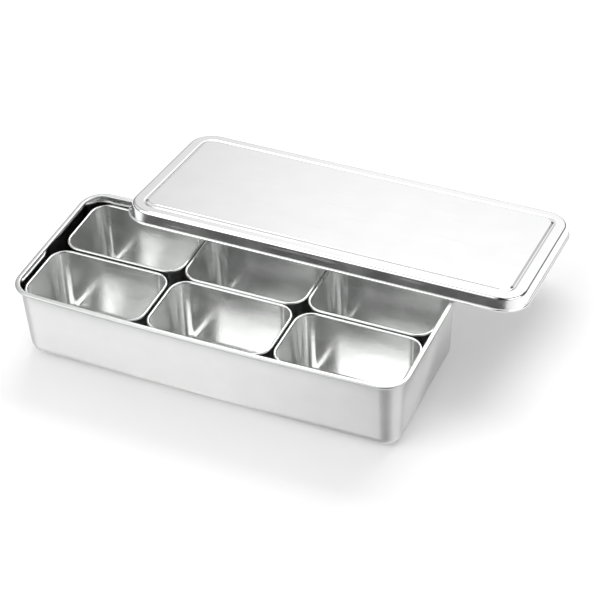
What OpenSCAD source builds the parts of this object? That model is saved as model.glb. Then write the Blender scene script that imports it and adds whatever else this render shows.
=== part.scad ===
// Covered set of small pans: a shallow outer tray, six loose pans that stand
// in it in two rows of three, and one loose cover that lifts off.
// Every piece is one pressed sheet with a rolled edge, so all three kinds share
// one construction: a sheet section, turned round four corners and drawn along
// four straight sides, closed by a flat floor.

/* [Small pan] */
// Length of one pan over its rolled rim
pan_l = 117.6; // [90:0.1:150]
// Depth of one pan over its rolled rim, front to back
pan_d = 72; // [60:0.1:100]
// Height of one pan, from under its floor to the top of its rim
pan_h = 68; // [40:0.5:90]
// Corner radius of the pan, outside its rim
pan_corner = 17; // [15.5:0.1:26]
// How far the pan's wall leans in from rim to floor
pan_taper = 3.2; // [1:0.1:4]
// Radius of the bend between the pan's floor and wall, inside the sheet
pan_bend = 9; // [4:0.1:9.5]
// Outside radius of the pan's rolled rim
pan_roll = 1.4; // [1.1:0.05:1.8]
// Sheet thickness of the pan
pan_sheet = 0.6; // [0.4:0.05:0.8]

/* [Fit of the pans in the tray] */
// Gap between the rims of neighbours in one row
column_gap = 2; // [1.6:0.1:6]
// Gap between the rims of the two rows
row_gap = 2.2; // [1.2:0.1:8]
// Gap between the end pans' rims and the tray's end walls, at the tray's rim
end_gap = 1.85; // [1.5:0.05:8]
// Gap between the outer rims and the tray's front and back walls, at the tray's rim
side_gap = 5.15; // [3:0.05:10]
// How far the pans' rims stand below the tray's rim
rim_drop = 7.3; // [1:0.1:20]

/* [Tray] */
// Sheet thickness of the tray
tray_sheet = 0.7; // [0.5:0.05:1]
// Corner radius of the tray, outside its rim
tray_corner = 23; // [20.5:0.1:34]
// How far the tray's wall leans in from rim to floor
tray_taper = 4.1; // [1:0.1:5]
// Radius of the bend between the tray's floor and wall, inside the sheet
tray_bend = 11.5; // [5:0.1:11.5]
// How far the tray's rim stands out past its wall
tray_flange = 4.05; // [3.4:0.05:5]
// Outside radius of the tray's rolled rim
tray_roll = 1.5; // [1.2:0.05:1.6]
// Radius of the bend between the tray's wall and rim, inside the sheet
rim_bend = 0.6; // [0.3:0.1:1.2]

/* [Cover] */
// Sheet thickness of the cover
lid_sheet = 0.6; // [0.5:0.05:0.7]
// Height of the cover, from its hem to the flat band round its top
lid_h = 13; // [10:0.1:24]
// Gap between the tray's rim and the cover's hem, all round, when the cover is on
lid_play = 2.4; // [0.6:0.1:5]
// Corner radius of the cover, outside its hem
lid_corner = 27.3; // [26:0.1:36]
// Outside radius of the cover's rolled hem
lid_hem = 1.3; // [1.05:0.05:1.6]
// How far the hem stands out past the skirt
hem_step = 1.6; // [1.6:0.05:2.4]
// Radius of the bend between skirt and hem, at the sheet's middle
hem_bend = 0.45; // [0.4:0.05:0.55]
// How far the skirt leans in from hem to shoulder
lid_taper = 1.5; // [0.4:0.1:2]
// Radius of the cover's shoulder, inside the sheet
lid_shoulder = 2.4; // [1:0.1:4]
// How far the raised panel's edge lies inside the hem
panel_inset = 15.8; // [11:0.1:18]
// Height of the raised panel above the band
panel_rise = 1; // [0.6:0.1:2]
// Radius of the two bends at the raised panel's edge, inside the sheet
panel_bend = 0.6; // [0.3:0.1:1.5]

/* [Cover, laid back off the tray] */
// How far the cover is shifted to the right of the tray's middle
lid_x = 53; // [30:0.1:80]
// How far the cover is shifted back from the tray's middle
lid_y = 129.3; // [124:0.1:150]
// Tilt of the cover, its back edge lower
lid_tilt = 8.9; // [4:0.1:12]
// Lean of the cover, its right end lower
lid_lean = 1.2; // [0:0.1:2]
// Turn of the cover about the vertical
lid_turn = 1.3; // [0:0.1:3]
// Clearance between the cover's hem and the tray's rim where they cross
lid_clear = 0.3; // [0.2:0.1:3]

/* [Hidden] */
columns = 3;
rows = 2;
// How far each loose pan has slid off its even spacing: [right, back], front row then back row
pan_slip = [[[0.6, 0.6], [1, 0.1], [0.8, -0.2]], [[3.2, 0.9], [2.3, -1], [1, -0.5]]];
steps_per_bend = 6;
steps_per_roll = 10;
roll_turn = 250;
$fn = 96;

// Tray sizes that follow from the pans it holds
inner_l = columns * pan_l + (columns - 1) * column_gap + 2 * end_gap;
inner_d = rows * pan_d + (rows - 1) * row_gap + 2 * side_gap;
tray_h = tray_sheet + pan_h + rim_drop;
tray_l = inner_l + 2 * (tray_sheet + tray_flange);
tray_d = inner_d + 2 * (tray_sheet + tray_flange);
// Cover sizes that follow from the tray it closes
lid_l = tray_l + 2 * (lid_play + 2 * lid_hem);
lid_d = tray_d + 2 * (lid_play + 2 * lid_hem);

// The tilted cover's upright direction, and how much higher than its own middle
// its hem plane would be at a point of the tray's rim [x, y]
upright = let (x = sin(lid_lean) * cos(lid_tilt), y = sin(lid_tilt))
    [x * cos(lid_turn) - y * sin(lid_turn), x * sin(lid_turn) + y * cos(lid_turn),
     cos(lid_lean) * cos(lid_tilt)];
function hem_lift(x, y) = (upright[0] * (x - lid_x) + upright[1] * (y - lid_y)) / upright[2];
// The cover rests where its left hem crosses the tray's back rim and where its
// front hem crosses the tray's right rim, whichever holds it higher
left_hem_x = lid_x - lid_l / 2 + lid_hem;
rim_back_y = tray_d / 2 - tray_roll;
rim_right_x = tray_l / 2 - tray_roll;
front_hem_y = lid_y - (lid_d / 2 - lid_hem) * cos(lid_tilt) + (rim_right_x - lid_x) * tan(lid_turn);
lid_z = tray_h + lid_clear + max(hem_lift(left_hem_x, rim_back_y), hem_lift(rim_right_x, front_hem_y));

pan_names = [["pan_front_left", "pan_front_middle", "pan_front_right"],
             ["pan_back_left", "pan_back_middle", "pan_back_right"]];

steel = [0.80, 0.81, 0.81];
bright_steel = [0.86, 0.87, 0.87];

// ---- Sheet sections -------------------------------------------------------
// A station is [x, z, heading]: a point of the sheet's middle line, x measured
// outwards from the corner's axis, and the way the line runs there in degrees.

function heading(a, b) = atan2(b[1] - a[1], b[0] - a[0]);
function turn_between(a, b) = let (d = b - a) d > 180 ? d - 360 : d < -180 ? d + 360 : d;

// Stations round one bend of radius r at point b, on the way from a to c
function bend_stations(a, b, c, r) =
    let (h0 = heading(a, b), turn = turn_between(h0, heading(b, c)),
         cut = r * tan(abs(turn) / 2), side = sign(turn),
         centre = [b[0] - cut * cos(h0) - side * r * sin(h0), b[1] - cut * sin(h0) + side * r * cos(h0)])
    [for (i = [0 : steps_per_bend])
        let (h = h0 + turn * i / steps_per_bend)
        [centre[0] + side * r * sin(h), centre[1] - side * r * cos(h), h]];

// Stations of a whole line, whose inner corners are [x, z, bend radius]
function line_stations(p) =
    [[p[0][0], p[0][1], heading(p[0], p[1])],
     for (i = [1 : len(p) - 2]) each bend_stations(p[i - 1], p[i], p[i + 1], p[i][2])];

// Stations of a roll of radius r that starts at [x, z] with heading h and turns clockwise
function roll_stations(x, z, h, r, turn) =
    [for (i = [0 : steps_per_roll])
        let (a = h - turn * i / steps_per_roll)
        [x + r * (sin(h) - sin(a)), z - r * (cos(h) - cos(a)), a]];

// The sheet's outline: the stations pushed half a thickness to either side
function sheet_outline(s, t) = concat(
    [for (p = s) [p[0] + t / 2 * sin(p[2]), p[1] - t / 2 * cos(p[2])]],
    [for (i = [len(s) - 1 : -1 : 0]) let (p = s[i]) [p[0] - t / 2 * sin(p[2]), p[1] + t / 2 * cos(p[2])]]);

// ---- One pressed piece ----------------------------------------------------
// Turns the section round four corners, draws it along four sides and fills in
// the flat middle, whose underside is at z = flat_z.
module pressed(l, d, corner, section, sheet, flat_z) {
    side_x = l / 2 - corner;
    side_y = d / 2 - corner;
    for (quarter = [0 : 3]) {
        sx = quarter == 0 || quarter == 3 ? side_x : -side_x;
        sy = quarter < 2 ? side_y : -side_y;
        run = quarter % 2 == 0 ? 2 * side_y : 2 * side_x;
        translate([sx, sy, 0]) rotate([0, 0, 90 * quarter]) {
            rotate_extrude(angle = 90) polygon(section);
            rotate([90, 0, 0]) linear_extrude(height = run) polygon(section);
        }
    }
    translate([-side_x, -side_y, flat_z]) cube([2 * side_x, 2 * side_y, sheet]);
}

// ---- Tray -----------------------------------------------------------------
module tray() {
    half = tray_sheet / 2;
    roll = tray_roll - half;
    wall_top = tray_corner - tray_flange - half;
    edge = tray_corner - tray_roll;
    line = line_stations([[0, half], [wall_top - tray_taper, half, tray_bend + half],
        [wall_top, tray_h - half, rim_bend + half], [edge, tray_h - half]]);
    curl = roll_stations(edge, tray_h - half, 0, roll, roll_turn);
    color(steel) pressed(tray_l, tray_d, tray_corner, sheet_outline(concat(line, curl), tray_sheet),
        tray_sheet, 0);
}

// ---- Small pans -----------------------------------------------------------
module pan() {
    half = pan_sheet / 2;
    roll = pan_roll - half;
    lean = atan2(pan_h - pan_roll - half, pan_taper);
    wall_top = pan_corner - pan_roll - roll * sin(lean);
    wall_end = pan_h - pan_roll + roll * cos(lean);
    line = line_stations([[0, half], [wall_top - pan_taper, half, pan_bend + half], [wall_top, wall_end]]);
    curl = roll_stations(wall_top, wall_end, lean, roll, roll_turn);
    color(bright_steel) pressed(pan_l, pan_d, pan_corner, sheet_outline(concat(line, curl), pan_sheet),
        pan_sheet, 0);
}

// A pan in its place: column 0 to 2 from the left, row 0 in front
module placed_pan(column, row) {
    slip = pan_slip[row][column];
    x = (column - (columns - 1) / 2) * (pan_l + column_gap) + slip[0];
    y = (row - (rows - 1) / 2) * (pan_d + row_gap) + slip[1];
    translate([x, y, tray_sheet]) pan();
}

// ---- Cover ----------------------------------------------------------------
module lid_shell() {
    half = lid_sheet / 2;
    roll = lid_hem - half;
    skirt_foot = lid_corner - hem_step - half;
    skirt_top = skirt_foot - lid_taper;
    panel_edge = lid_corner - panel_inset;
    band_z = lid_h - half;
    hem_z = 2 * lid_hem - half;
    line = line_stations([[0, band_z + panel_rise],
        [panel_edge - panel_rise, band_z + panel_rise, panel_bend + half],
        [panel_edge + panel_rise, band_z, panel_bend + half],
        [skirt_top, band_z, lid_shoulder + half],
        [skirt_foot, hem_z, hem_bend], [lid_corner - lid_hem, hem_z]]);
    curl = roll_stations(lid_corner - lid_hem, hem_z, 0, roll, roll_turn);
    color(bright_steel) pressed(lid_l, lid_d, lid_corner, sheet_outline(concat(line, curl), lid_sheet),
        lid_sheet, lid_h + panel_rise - lid_sheet);
}

module lid() {
    translate([lid_x, lid_y, lid_z]) rotate([-lid_tilt, lid_lean, lid_turn]) lid_shell();
}

tray();
for (row = [0 : rows - 1], column = [0 : columns - 1])
    placed_pan(column, row);
lid();
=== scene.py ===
# %% [markdown]
# # A covered set of small steel pans
#
# A shallow outer tray holds six loose pans in two rows of three. One pressed cover closes the set, and here
# it lies back across the tray's rim. Every piece is a single sheet of stainless steel, so this lesson is
# about two things: the section of a pressed sheet, with its bends and rolled edges, and the way bright
# steel mirrors the room around it.
#
# The solids were measured and packed first. We load them as a fixed frame and dress every one of them with
# a finer surface in the same place, so nothing here has to be fitted by eye.

# %% Load the measured frame
import math

import bmesh
import bpy
from mathutils import Euler, Matrix, Vector


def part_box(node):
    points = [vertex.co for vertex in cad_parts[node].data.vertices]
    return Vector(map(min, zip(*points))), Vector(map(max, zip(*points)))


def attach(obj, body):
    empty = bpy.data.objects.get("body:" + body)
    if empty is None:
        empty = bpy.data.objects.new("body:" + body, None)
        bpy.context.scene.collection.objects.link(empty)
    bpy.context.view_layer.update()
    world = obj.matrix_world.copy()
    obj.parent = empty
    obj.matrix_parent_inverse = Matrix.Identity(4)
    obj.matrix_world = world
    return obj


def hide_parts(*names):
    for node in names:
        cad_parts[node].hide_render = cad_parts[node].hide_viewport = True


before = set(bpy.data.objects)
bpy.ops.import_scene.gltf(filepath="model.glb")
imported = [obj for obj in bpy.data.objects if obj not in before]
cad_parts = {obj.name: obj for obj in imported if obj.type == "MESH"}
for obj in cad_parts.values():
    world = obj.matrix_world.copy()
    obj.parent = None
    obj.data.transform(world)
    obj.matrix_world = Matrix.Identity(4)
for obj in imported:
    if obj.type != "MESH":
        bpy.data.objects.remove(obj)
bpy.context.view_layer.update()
MM = 0.001

# %% [markdown]
# ## The camera
#
# We look down on the set from its front right, through a long lens, so that its edges stay nearly parallel.
# The camera is placed by the angles it looks from and by how far it stands back. Its three directions are
# worked out first: back towards the viewer, across the picture and up the picture. A small roll turns the
# last two.

# %% Camera
PICTURE_SIDE = 598
LENS_PIXELS = 2052.06
SENSOR = 36.0
LOOK_AZIMUTH = math.radians(24.82)
LOOK_ELEVATION = math.radians(39.17)
LOOK_ROLL = math.radians(-2.23)
LOOK_DISTANCE = 1833.32 * MM
AIM_ACROSS = 52.55 * MM
AIM_UP = 46.39 * MM


def look_directions(azimuth, elevation, roll):
    """Back towards the viewer, across the picture and up the picture."""
    back = Vector((math.sin(azimuth) * math.cos(elevation),
                   -math.cos(azimuth) * math.cos(elevation),
                   math.sin(elevation)))
    level = Vector((math.cos(azimuth), math.sin(azimuth), 0))
    upright = back.cross(level)
    across = math.cos(roll) * level + math.sin(roll) * upright
    up = math.cos(roll) * upright - math.sin(roll) * level
    return back, across, up


back, across, up = look_directions(LOOK_AZIMUTH, LOOK_ELEVATION, LOOK_ROLL)
camera_data = bpy.data.cameras.new("camera")
camera_data.sensor_width = SENSOR
camera_data.lens = LENS_PIXELS * SENSOR / PICTURE_SIDE
camera = bpy.data.objects.new("camera", camera_data)
bpy.context.scene.collection.objects.link(camera)
turn = Matrix((across, up, back)).transposed().to_4x4()
stand = back * LOOK_DISTANCE + across * AIM_ACROSS + up * AIM_UP
camera.matrix_world = Matrix.Translation(stand) @ turn
bpy.context.scene.camera = camera
print("lens, mm:", round(camera_data.lens, 2))

# %% [markdown]
# ## A section through the sheet
#
# Press a sheet into a die and its section becomes a line of flats and round bends. We write that line as
# stations: how far out, how far up, and which way the sheet is heading. Flats give a station near each end,
# because a loop close to a bend keeps the flat beside it looking flat when the shading is smooth. The
# rolled rim is one more arc, turned well past half a circle so that the cut edge hides inside it.

# %% Stations of the sheet's middle line
BEND_STEPS = 10
ROLL_STEPS = 20
ROLL_TURN = math.radians(250)
NEAR_BEND = 0.4 * MM
FLAT_PARTS = 3


def heading(start, end):
    return math.atan2(end[1] - start[1], end[0] - start[0])


def bend(before, corner, after, radius):
    """Stations round the bend at a corner of the line."""
    start = heading(before, corner)
    angle = (heading(corner, after) - start + math.pi) % (2 * math.pi) - math.pi
    cut = radius * math.tan(abs(angle) / 2)
    side = math.copysign(radius, angle)
    centre_out = corner[0] - cut * math.cos(start) - side * math.sin(start)
    centre_up = corner[1] - cut * math.sin(start) + side * math.cos(start)
    stations = []
    for step in range(BEND_STEPS + 1):
        way = start + angle * step / BEND_STEPS
        stations.append((centre_out + side * math.sin(way), centre_up - side * math.cos(way), way))
    return stations


def flat_run(start, end):
    """Stations between two others, with one near each end."""
    way = heading(start, end)
    length = math.dist(start[:2], end[:2])
    inner = length - 2 * NEAR_BEND
    if inner <= 0:
        return []
    places = [NEAR_BEND + inner * part / FLAT_PARTS for part in range(FLAT_PARTS + 1)]
    return [(start[0] + place * math.cos(way), start[1] + place * math.sin(way), way) for place in places]


def roll(out, height, way, radius):
    """Stations of an edge rolled outwards and down."""
    stations = []
    for step in range(1, ROLL_STEPS + 1):
        now = way - ROLL_TURN * step / ROLL_STEPS
        stations.append((out + radius * (math.sin(way) - math.sin(now)),
                         height - radius * (math.cos(way) - math.cos(now)), now))
    return stations


def sheet_line(start, corners, end, roll_radius):
    """The whole line: start, bends at the corners (out, up, radius), end, and the rolled edge."""
    points = [start] + [corner[:2] for corner in corners] + [end]
    stations = [(*start, heading(start, points[1]))]
    for number, corner in enumerate(corners, start=1):
        arc = bend(points[number - 1], corner[:2], points[number + 1], corner[2])
        stations += flat_run(stations[-1], arc[0]) + arc
    way = heading(points[-2], end)
    last = (*end, way)
    stations += flat_run(stations[-1], last) + [last]
    return stations + roll(end[0], end[1], way, roll_radius)


print("stations in a bend:", BEND_STEPS + 1)

# %% [markdown]
# ## Drawing the section round a rounded rectangle
#
# Every piece is one section carried round a rounded rectangle. The walk starts in the middle of the front
# left corner, so that it falls into four sides that each begin and end on a corner's middle. Those four
# sides then close the flat middle with a neat grid of quads, where a fan or a single large face would shade
# badly. A long side may bow: the share of the bow is greatest half way along and nothing at the corners.

# %% Walk round a rounded rectangle
CORNER_HALF_STEPS = 7
HALF_CORNER = math.radians(45)
LONG_STEPS = 28
SHORT_STEPS = 12
# Each side's steps, the way it faces in degrees, and the signs of the corners where it begins and ends.
SIDES = (
    (LONG_STEPS, -90, (-1, -1), (1, -1)),
    (SHORT_STEPS, 0, (1, -1), (1, 1)),
    (LONG_STEPS, 90, (1, 1), (-1, 1)),
    (SHORT_STEPS, 180, (-1, 1), (-1, -1)),
)


def walk(length, depth, corner):
    """Stops round the outline: corner axis x and y, outward x and y, and share of the bow."""
    side_x = length / 2 - corner
    side_y = depth / 2 - corner
    stops = []

    def stop(place, angle, bow=0.0):
        stops.append((*place, math.cos(angle), math.sin(angle), bow))

    for steps, facing, begin, finish in SIDES:
        here = Vector((begin[0] * side_x, begin[1] * side_y))
        there = Vector((finish[0] * side_x, finish[1] * side_y))
        straight = math.radians(facing)
        for step in range(CORNER_HALF_STEPS):
            stop(here, straight - HALF_CORNER * (1 - step / CORNER_HALF_STEPS))
        for step in range(steps + 1):
            bow = 1 - (2 * step / steps - 1) ** 2 if steps == LONG_STEPS else 0.0
            stop(here.lerp(there, step / steps), straight, bow)
        for step in range(1, CORNER_HALF_STEPS):
            stop(there, straight + HALF_CORNER * step / CORNER_HALF_STEPS)
    return stops


LONG_SIDE = LONG_STEPS + 2 * CORNER_HALF_STEPS
SHORT_SIDE = SHORT_STEPS + 2 * CORNER_HALF_STEPS
LOOP = 2 * (LONG_SIDE + SHORT_SIDE)


def grid_corner_index(column, row):
    """Which stop of the walk lies at this edge place of the middle grid, or None inside it."""
    if row == 0:
        return column
    if column == LONG_SIDE:
        return LONG_SIDE + row
    if row == SHORT_SIDE:
        return 2 * LONG_SIDE + SHORT_SIDE - column
    if column == 0:
        return (LOOP - row) % LOOP
    return None


print("stops round each piece:", LOOP)

# %% [markdown]
# ## Closing the flat middle
#
# The loop that is left in the middle has four sides, so a grid of quads fits it exactly. Each inner point
# is blended from the four sides, which keeps the rows and columns even.

# %% Fill the flat middle
def fill_middle(mesh, ring, finish):
    """A grid of quads inside one loop, each inner point blended from the four sides."""
    def edge(column, row):
        return ring[grid_corner_index(column, row)].co

    corners = [edge(0, 0), edge(LONG_SIDE, 0), edge(0, SHORT_SIDE), edge(LONG_SIDE, SHORT_SIDE)]
    grid = []
    for row in range(SHORT_SIDE + 1):
        line = []
        for column in range(LONG_SIDE + 1):
            index = grid_corner_index(column, row)
            if index is not None:
                line.append(ring[index])
                continue
            u = column / LONG_SIDE
            v = row / SHORT_SIDE
            across_sides = (1 - u) * edge(0, row) + u * edge(LONG_SIDE, row)
            along_sides = (1 - v) * edge(column, 0) + v * edge(column, SHORT_SIDE)
            blend = ((1 - v) * ((1 - u) * corners[0] + u * corners[1])
                     + v * ((1 - u) * corners[2] + u * corners[3]))
            line.append(mesh.verts.new(across_sides + along_sides - blend))
        grid.append(line)
    for row in range(SHORT_SIDE):
        for column in range(LONG_SIDE):
            near = grid[row]
            far = grid[row + 1]
            quad = (near[column], near[column + 1], far[column + 1], far[column])
            mesh.faces.new(quad).material_index = finish


print("quads in a flat middle:", LONG_SIDE * SHORT_SIDE)

# %% [markdown]
# ## From section to closed sheet
#
# The sheet has two faces, so the outline is the line pushed half a thickness to either side, up one face
# and back down the other. Carried round the walk it makes a closed skin with real thickness. Each face
# carries one of three finishes, because a piece is polished differently outside, inside and on its rim.

# %% Build one pressed piece
OUTSIDE, INSIDE, RIM = range(3)


def pressed_piece(name, stations, length, depth, corner, thickness, rim, bow=0.0, place=None):
    """A mesh object of one pressed sheet. Above rim it has the rim's finish. The bow is full at the rim."""
    half = thickness / 2
    outer = [(out + half * math.sin(way), height - half * math.cos(way)) for out, height, way in stations]
    inner = [(out - half * math.sin(way), height + half * math.cos(way)) for out, height, way in stations]
    profile = outer + inner[::-1]
    finishes = [OUTSIDE] * len(outer) + [RIM if height > rim else INSIDE for out, height in inner[::-1]]
    stops = walk(length, depth, corner)
    mesh = bmesh.new()
    rings = []
    for out, height in profile:
        ring = []
        for axis_x, axis_y, way_x, way_y, share in stops:
            reach = out + bow * share * min(height / rim, 1)
            ring.append(mesh.verts.new((axis_x + way_x * reach, axis_y + way_y * reach, height)))
        rings.append(ring)
    for row in range(len(rings) - 1):
        for stop in range(LOOP):
            after = (stop + 1) % LOOP
            quad = (rings[row][stop], rings[row][after], rings[row + 1][after], rings[row + 1][stop])
            mesh.faces.new(quad).material_index = finishes[row + 1]
    for ring, finish in ((rings[0], OUTSIDE), (rings[-1], INSIDE)):
        fill_middle(mesh, ring, finish)
    bmesh.ops.recalc_face_normals(mesh, faces=mesh.faces)
    data = bpy.data.meshes.new(name)
    mesh.to_mesh(data)
    mesh.free()
    data.shade_smooth()
    if place is not None:
        data.transform(place)
    piece = bpy.data.objects.new(name, data)
    bpy.context.scene.collection.objects.link(piece)
    print(name, "faces:", len(data.polygons))
    return piece


print("face numbers: outside", OUTSIDE, "inside", INSIDE, "rim", RIM)

# %% [markdown]
# ## The tray
#
# The outer tray has a flat floor, walls that lean in a little towards it, and a flat rim whose edge is
# rolled over. A long thin wall never stays quite straight: the front and back bow out by a few millimetres
# at the rim, where nothing but the sheet itself holds them, and not at all at the floor.

# %% Tray
TRAY_SHEET = 0.7 * MM
TRAY_CORNER = 23 * MM
TRAY_TAPER = 4.1 * MM
TRAY_BEND = 11.5 * MM
TRAY_FLANGE = 4.05 * MM
TRAY_ROLL = 1.5 * MM
TRAY_RIM_BEND = 0.6 * MM
TRAY_BOW = 3 * MM
TRAY_FLAT = 2 * MM
TRAY_SLACK = 0.02 * MM

tray_low, tray_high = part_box("tray")
tray_length = tray_high.x - tray_low.x
tray_depth = tray_high.y - tray_low.y - 2 * TRAY_BOW
tray_height = tray_high.z - TRAY_SLACK


def tray_stations():
    half = TRAY_SHEET / 2
    wall_out = TRAY_CORNER - TRAY_FLANGE - half
    edge = TRAY_CORNER - TRAY_ROLL
    corners = [(wall_out - TRAY_TAPER, half, TRAY_BEND + half),
               (wall_out, tray_height - half, TRAY_RIM_BEND + half)]
    start = (wall_out - TRAY_TAPER - TRAY_BEND - TRAY_FLAT, half)
    return sheet_line(start, corners, (edge, tray_height - half), TRAY_ROLL - half)


tray = pressed_piece("tray_sheet", tray_stations(), tray_length, tray_depth, TRAY_CORNER, TRAY_SHEET,
                     rim=tray_height - 2 * TRAY_ROLL, bow=TRAY_BOW)
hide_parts("tray")
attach(tray, "tray")

# %% [markdown]
# ## The six small pans
#
# Each pan stands loose on the tray's floor, and its rim ends a few millimetres below the tray's. The wall
# runs straight up into a rolled rim with no flange, which makes a bright round line about three millimetres
# wide. They are six separate pieces, so each is built where its own solid stands.

# %% Small pans
PAN_SHEET = 0.6 * MM
PAN_CORNER = 17 * MM
PAN_TAPER = 3.2 * MM
PAN_BEND = 10 * MM
PAN_ROLL = 1.4 * MM
PAN_FLAT = 0.9 * MM
PAN_NAMES = [f"pan_{row}_{column}" for row in ("front", "back") for column in ("left", "middle", "right")]


def pan_stations(height):
    half = PAN_SHEET / 2
    radius = PAN_ROLL - half
    lean = math.atan2(height - PAN_ROLL - half, PAN_TAPER)
    wall_out = PAN_CORNER - PAN_ROLL - radius * math.sin(lean)
    wall_end = height - PAN_ROLL + radius * math.cos(lean)
    foot = wall_out - PAN_TAPER
    start = (foot - PAN_BEND - PAN_FLAT, half)
    return sheet_line(start, [(foot, half, PAN_BEND + half)], (wall_out, wall_end), radius)


pans = []
for pan_name in PAN_NAMES:
    pan_low, pan_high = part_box(pan_name)
    size = pan_high - pan_low
    middle = (pan_low + pan_high) / 2
    place = Matrix.Translation((middle.x, middle.y, pan_low.z))
    pan = pressed_piece(pan_name + "_sheet", pan_stations(size.z), size.x, size.y, PAN_CORNER, PAN_SHEET,
                        rim=size.z - 2 * PAN_ROLL, place=place)
    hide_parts(pan_name)
    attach(pan, pan_name)
    pans.append(pan)

# %% [markdown]
# ## The cover
#
# The cover is the widest sheet, so it is stiffened all over: a raised panel in the middle with a shallow
# groove at its foot, a flat band round that, a rounded shoulder, a short skirt and a hem that is rolled
# outwards. It is drawn level first and then laid back: tilted so that its back edge is lower, leaned a
# little to the right and turned a little.

# %% Cover
COVER_SHEET = 0.6 * MM
COVER_HEIGHT = 13 * MM
COVER_CORNER = 27.3 * MM
COVER_HEM = 1.3 * MM
COVER_HEM_STEP = 1.6 * MM
COVER_HEM_BEND = 0.45 * MM
COVER_TAPER = 2.3 * MM
COVER_SHOULDER = 2.4 * MM
PANEL_INSET = 15.8 * MM
PANEL_RISE = 1 * MM
PANEL_RUN = 2.6 * MM
PANEL_BEND = 1.2 * MM
GROOVE_DEPTH = 0.4 * MM
GROOVE_RUN = 2 * MM
PANEL_FLAT = 6 * MM
COVER_LENGTH = 380 * MM
COVER_DEPTH = 176 * MM
COVER_SLACK = 0.05 * MM
COVER_PLACE = Vector((53, 129.3, 65.58)) * MM
COVER_TURN = Euler([math.radians(angle) for angle in (-8.9, 1.2, 1.3)], "XYZ")


def cover_stations():
    half = COVER_SHEET / 2
    skirt_foot = COVER_CORNER - COVER_HEM_STEP - half
    panel_edge = COVER_CORNER - PANEL_INSET
    band = COVER_HEIGHT - half
    hem = 2 * COVER_HEM - half
    corners = [(panel_edge - PANEL_RUN, band + PANEL_RISE, PANEL_BEND + half),
               (panel_edge, band - GROOVE_DEPTH, PANEL_BEND + half),
               (panel_edge + GROOVE_RUN, band, PANEL_BEND + half),
               (skirt_foot - COVER_TAPER, band, COVER_SHOULDER + half),
               (skirt_foot, hem, COVER_HEM_BEND)]
    start = (panel_edge - PANEL_FLAT, band + PANEL_RISE)
    return sheet_line(start, corners, (COVER_CORNER - COVER_HEM, hem), COVER_HEM - half)


laid_back = Matrix.Translation(COVER_PLACE) @ COVER_TURN.to_matrix().to_4x4()
cover = pressed_piece("cover_sheet", cover_stations(), COVER_LENGTH - 2 * COVER_SLACK,
                      COVER_DEPTH - 2 * COVER_SLACK, COVER_CORNER, COVER_SHEET, rim=COVER_HEIGHT,
                      place=laid_back)
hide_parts("lid")
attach(cover, "lid")
cover_low, cover_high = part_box("lid")
corners = [vertex.co for vertex in cover.data.vertices]
print("cover against its solid, mm:",
      [round((min(place[axis] for place in corners) - cover_low[axis]) / MM, 3) for axis in range(3)],
      [round((max(place[axis] for place in corners) - cover_high[axis]) / MM, 3) for axis in range(3)])

# %% [markdown]
# ## Helpers for node trees
#
# Materials and the room are both node trees, and we build them with the same few helpers. A socket is given
# by its name, or by its number with an underscore before it, because several maths inputs share one name. A
# Mix node keeps its two numbers at inputs 2 and 3 and its two colours at 6 and 7. It gives the mixed number
# at output 0 and the mixed colour at output 2.

# %% Node helpers
def node(tree, kind, **sockets):
    """A new node with some of its inputs set: a value, or another node's output."""
    made = tree.nodes.new(kind)
    for name, value in sockets.items():
        key = int(name[1:]) if name[1:].isdigit() else name.replace("_", " ")
        if isinstance(value, bpy.types.NodeSocket):
            tree.links.new(value, made.inputs[key])
        else:
            made.inputs[key].default_value = value
    return made


def maths(tree, operation, *values):
    """One step of arithmetic."""
    made = node(tree, "ShaderNodeMath", **{f"_{place}": value for place, value in enumerate(values)})
    made.operation = operation
    return made.outputs[0]


def spread(tree, value, start, end, low, high, interpolation="LINEAR"):
    """value carried from the range start..end to the range low..high."""
    made = node(tree, "ShaderNodeMapRange", Value=value)
    made.interpolation_type = interpolation
    for socket, number in (("From Min", start), ("From Max", end), ("To Min", low), ("To Max", high)):
        made.inputs[socket].default_value = number
    return made.outputs["Result"]


def stretched_noise(tree, coordinates, stretch, detail=2.0):
    """Noise whose grain length along each axis is set by stretch, in waves per metre."""
    mapping = node(tree, "ShaderNodeMapping", Vector=coordinates, Scale=stretch)
    return node(tree, "ShaderNodeTexNoise", Vector=mapping.outputs["Vector"], Scale=1.0, Detail=detail)


print("helpers:", [helper.__name__ for helper in (node, maths, spread, stretched_noise)])

# %% [markdown]
# ## Stainless steel
#
# Steel has almost no colour of its own: it shows the room. What tells a satin pan from a polished one is
# how sharp that picture is. So each finish is one metallic shader with a roughness, a fine grain that runs
# one way from the rolling mill, and a slow waviness a few centimetres long, because pressed sheet is never
# quite flat. Brushed steel smears a reflection across its grain, so the level grain of a wall smears it up
# and down: the shader's anisotropy does that once its tangent is turned a quarter from level. Cleaning and
# stacking leave faint patches and hairlines in the roughness.

# %% One finish
QUARTER_TURN = 0.25
GRAIN = (45, 900, 900)
SLOW_WAVES = (22, 22, 22)
PATCH_WAVES = (38, 38, 38)
PATCH_DETAIL = 4.0
PATCH_RANGE = (0.3, 0.7)
PATCH_ROUGHNESS = (-0.02, 0.03)
HAIRLINE_WAVES = [waves * 0.35 for waves in GRAIN]
HAIRLINE_RANGE = (0.62, 0.72)
HAIRLINE_ROUGHNESS = (0.0, 0.05)
DULL_SHARE = 0.965


def worn_roughness(tree, place, patches, roughness):
    """The roughness, a little higher or lower in patches and higher in hairlines."""
    hairlines = stretched_noise(tree, place, HAIRLINE_WAVES, detail=1.0).outputs["Fac"]
    worn = maths(tree, "ADD", spread(tree, patches, *PATCH_RANGE, *PATCH_ROUGHNESS),
                 spread(tree, hairlines, *HAIRLINE_RANGE, *HAIRLINE_ROUGHNESS))
    return maths(tree, "ADD", worn, roughness)


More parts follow.
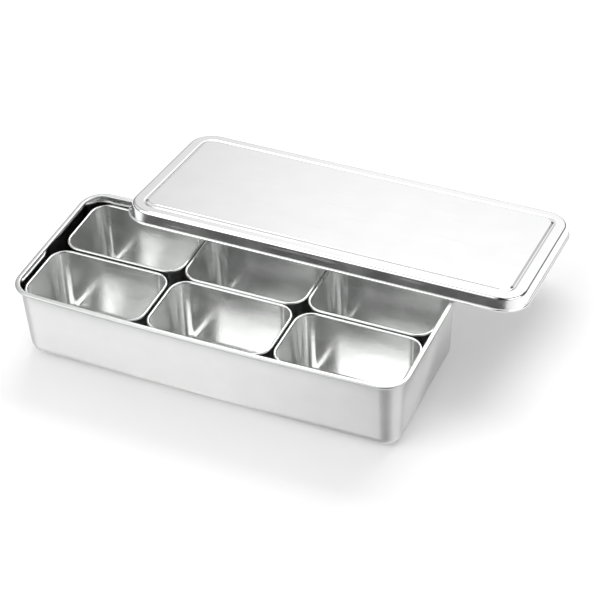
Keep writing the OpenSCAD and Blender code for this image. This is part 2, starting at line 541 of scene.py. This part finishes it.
def worn_colour(tree, patches, colour):
    """The colour, a little duller in the same patches."""
    tint = tree.nodes.new("ShaderNodeMix")
    tint.data_type = "RGBA"
    tree.links.new(spread(tree, patches, *PATCH_RANGE, 0.0, 1.0), tint.inputs[0])
    tint.inputs[6].default_value = (*[part * DULL_SHARE for part in colour], 1)
    tint.inputs[7].default_value = (*colour, 1)
    return tint.outputs[2]


def uneven_normal(tree, place, grain_depth, wave_depth):
    """The surface's direction, bent by slow waves and then by the grain."""
    waves = stretched_noise(tree, place, SLOW_WAVES, detail=1.0).outputs["Fac"]
    slow = node(tree, "ShaderNodeBump", Height=waves, Distance=wave_depth)
    lines = stretched_noise(tree, place, GRAIN).outputs["Fac"]
    fine = node(tree, "ShaderNodeBump", Height=lines, Distance=grain_depth, Normal=slow.outputs[0])
    return fine.outputs[0]


def steel(name, colour, roughness, grain_depth, wave_depth, brushed=0.0):
    """One finish of stainless steel, brushed by a share from 0 to 1."""
    material = bpy.data.materials.new(name)
    material.use_nodes = True
    tree = material.node_tree
    shader = tree.nodes["Principled BSDF"]
    shader.inputs["Metallic"].default_value = 1.0
    shader.inputs["Anisotropic"].default_value = brushed
    shader.inputs["Anisotropic Rotation"].default_value = QUARTER_TURN
    level_line = tree.nodes.new("ShaderNodeTangent")
    level_line.direction_type = "RADIAL"
    level_line.axis = "Z"
    place = node(tree, "ShaderNodeTexCoord").outputs["Object"]
    patches = stretched_noise(tree, place, PATCH_WAVES, detail=PATCH_DETAIL).outputs["Fac"]
    for socket, output in (("Tangent", level_line.outputs[0]),
                           ("Roughness", worn_roughness(tree, place, patches, roughness)),
                           ("Base Color", worn_colour(tree, patches, colour)),
                           ("Normal", uneven_normal(tree, place, grain_depth, wave_depth))):
        tree.links.new(output, shader.inputs[socket])
    print("finish:", name)
    return material


# %% [markdown]
# ## Seven finishes
#
# The numbers after each colour are the roughness and the depths of the grain and of the slow waves. The
# tray is satin outside and polished inside, the pans are satin inside, and the cover is the brightest sheet
# of all. The rims of the tray and of the pans have finishes of their own.

# %% Finishes of every piece
tray_satin = steel("tray satin", (0.88, 0.885, 0.88), 0.6, 0.0012 * MM, 0.01 * MM, brushed=1.0)
tray_rim = steel("tray rim", (0.6, 0.605, 0.6), 0.34, 0.0005 * MM, 0.005 * MM)
tray_polish = steel("tray polish", (0.66, 0.665, 0.66), 0.1, 0.0005 * MM, 0.01 * MM)
pan_outside = steel("pan outside", (0.7, 0.705, 0.7), 0.3, 0.001 * MM, 0.01 * MM)
pan_satin = steel("pan satin", (0.76, 0.765, 0.76), 0.19, 0.0002 * MM, 0.006 * MM, brushed=0.3)
pan_rim = steel("pan rim", (0.66, 0.665, 0.66), 0.26, 0.0002 * MM, 0.003 * MM)
cover_bright = steel("cover bright", (0.95, 0.955, 0.95), 0.1, 0.0003 * MM, 0.003 * MM)

# Outside, inside and rim, in the order of the mesh's face numbers.
FINISHES = {"tray": (tray_satin, tray_polish, tray_rim), "pan": (pan_outside, pan_satin, pan_rim),
            "cover": (cover_bright, cover_bright, cover_bright)}
for piece in (tray, *pans, cover):
    for finish in FINISHES[piece.name.split("_")[0]]:
        piece.data.materials.append(finish)

# %% [markdown]
# ## The room that the steel shows
#
# A metal part looks the way its room looks, so the room is the real work. This one is a plain grey studio
# with soft lights at the left, the front left and the right, a pale ceiling, a pale wall behind, shade at
# the front and at the back right, and a dark skirting all round, just above the floor. The shade matters as
# much as the light: without it deep bright pans would look flat. Each patch is given in degrees: its middle
# and half its width, the heights between which it shows and how wide its soft edge is. A half width of 200
# goes all the way round. Its level comes last. Directions are counted from the right, anticlockwise seen
# from above. Later patches cover earlier ones. Every kind of ray sees this same room, so the steel mirrors
# what is really there.

# %% Patches of the room
ROOM_LEVEL = 0.35
PATCHES = {
    "ceiling": (0, 200, 56, 100, 10, 0.75),
    "pale wall behind": (82, 34, 14, 90, 20, 1.1),
    "left light": (164, 28, 24, 64, 14, 0.8),
    "front left light": (-128, 30, -90, 64, 14, 1.0),
    "shade at the front": (-66, 18, 0, 75, 14, 0.03),
    "right light": (-8, 30, 0, 35, 10, 1.8),
    "gap at the back right": (46, 24, -90, 40, 10, 0.12),
    "low gap beside it": (58, 34, -90, 15, 10, 0.05),
    "dark skirting": (0, 200, -90, 9, 10, 0.08),
}


def soft_step(tree, value, off, on):
    """0 at off and 1 at on, in degrees, with an easy slope between them."""
    low, high = sorted((off, on))
    return spread(tree, value, math.radians(low), math.radians(high), float(on < off), float(on > off),
                  "SMOOTHSTEP")


def patch_share(tree, azimuth, elevation, middle, half_width, low, high, edge):
    """How much of one patch shows in this direction, from 0 to 1."""
    soft = edge / 2
    aside = maths(tree, "WRAP", maths(tree, "SUBTRACT", azimuth, math.radians(middle)), math.pi, -math.pi)
    across = soft_step(tree, maths(tree, "ABSOLUTE", aside), half_width + soft, half_width - soft)
    above = soft_step(tree, elevation, low - soft, low + soft)
    below = soft_step(tree, elevation, high + soft, high - soft)
    return maths(tree, "MULTIPLY", across, maths(tree, "MULTIPLY", above, below))


print("patches in the room:", len(PATCHES))

# %% [markdown]
# ## From patches to a world
#
# A direction has two angles, round and up. We work them out once, start from the studio's plain grey and
# lay one patch after another over it.

# %% World
world = bpy.data.worlds.new("room")
bpy.context.scene.world = world
world.use_nodes = True
room = world.node_tree
room.nodes.clear()
looking = node(room, "ShaderNodeSeparateXYZ", Vector=node(room, "ShaderNodeTexCoord").outputs["Generated"])
azimuth = maths(room, "ARCTAN2", looking.outputs["Y"], looking.outputs["X"])
elevation = maths(room, "ARCSINE", looking.outputs["Z"])
level = ROOM_LEVEL
for *shape, patch_level in PATCHES.values():
    share = patch_share(room, azimuth, elevation, *shape)
    level = node(room, "ShaderNodeMix", _0=share, _2=level, _3=patch_level).outputs[0]
light = node(room, "ShaderNodeBackground", Color=(1, 1, 1, 1), Strength=level)
room.links.new(light.outputs[0], room.nodes.new("ShaderNodeOutputWorld").inputs["Surface"])
print("nodes in the room:", len(room.nodes))

# %% [markdown]
# ## The floor
#
# The floor is plain, pale and matt, so it keeps the soft shadow of the set. A small glow lifts it to white
# for the camera and for every mirrored or transmitted ray alike, so the steel shows the same floor that we
# see.

# %% Floor
FLOOR_SIDE = 40.0
FLOOR_GREY = 0.9
FLOOR_GLOW = 0.15

floor_mesh = bpy.data.meshes.new("floor")
reach = FLOOR_SIDE / 2
floor_mesh.from_pydata([(-reach, -reach, 0), (reach, -reach, 0), (reach, reach, 0), (-reach, reach, 0)], [],
                       [(0, 1, 2, 3)])
floor = bpy.data.objects.new("floor", floor_mesh)
bpy.context.scene.collection.objects.link(floor)

paper = bpy.data.materials.new("pale paper")
paper.use_nodes = True
surface = paper.node_tree
surface.nodes.clear()
matt = node(surface, "ShaderNodeBsdfDiffuse", Color=(FLOOR_GREY, FLOOR_GREY, FLOOR_GREY, 1))
rays = surface.nodes.new("ShaderNodeLightPath")
mirrored = maths(surface, "MAXIMUM", rays.outputs["Is Glossy Ray"], rays.outputs["Is Transmission Ray"])
seen = maths(surface, "MAXIMUM", rays.outputs["Is Camera Ray"], mirrored)
strength = maths(surface, "MULTIPLY", seen, FLOOR_GLOW)
glow = node(surface, "ShaderNodeEmission", Color=(1, 1, 1, 1), Strength=strength)
total = node(surface, "ShaderNodeAddShader", _0=matt.outputs[0], _1=glow.outputs[0])
surface.links.new(total.outputs[0], surface.nodes.new("ShaderNodeOutputMaterial").inputs["Surface"])
floor_mesh.materials.append(paper)
print("floor, metres across:", FLOOR_SIDE)

# %% [markdown]
# ## Two lamps
#
# A broad lamp at the front left gives the shadow its direction. A softbox behind the set is what the front
# pans mirror as a bright patch, after a few bounces from wall to floor to wall.

# %% Lamps
LAMPS = {
    "broad lamp": {"place": (-1.0, -1.2, 1.5), "length": 1.8, "width": 1.4, "watts": 12.0},
    "back softbox": {"place": (-0.02, 1.3, 1.5), "length": 1.7, "width": 0.8, "watts": 16.0},
}

for lamp_name, lamp in LAMPS.items():
    lamp_data = bpy.data.lights.new(lamp_name, "AREA")
    lamp_data.shape = "RECTANGLE"
    lamp_data.size = lamp["length"]
    lamp_data.size_y = lamp["width"]
    lamp_data.energy = lamp["watts"]
    lamp_object = bpy.data.objects.new(lamp_name, lamp_data)
    lamp_object.location = lamp["place"]
    lamp_object.rotation_euler = (-lamp_object.location).to_track_quat("-Z", "Y").to_euler()
    bpy.context.scene.collection.objects.link(lamp_object)
    brightness = lamp["watts"] / (math.pi * lamp["length"] * lamp["width"])
    print(lamp_name, "seen in a mirror, where 1 is white:", round(brightness, 2))

# %% [markdown]
# ## Finish
#
# The colours are shown as they are, without a film look. Small pans mirror into themselves several times
# over, so mirrored rays may bounce more often than usual.

# %% Colours and bounces
MIRROR_BOUNCES = 8

scene = bpy.context.scene
scene.view_settings.view_transform = "Standard"
scene.cycles.glossy_bounces = MIRROR_BOUNCES
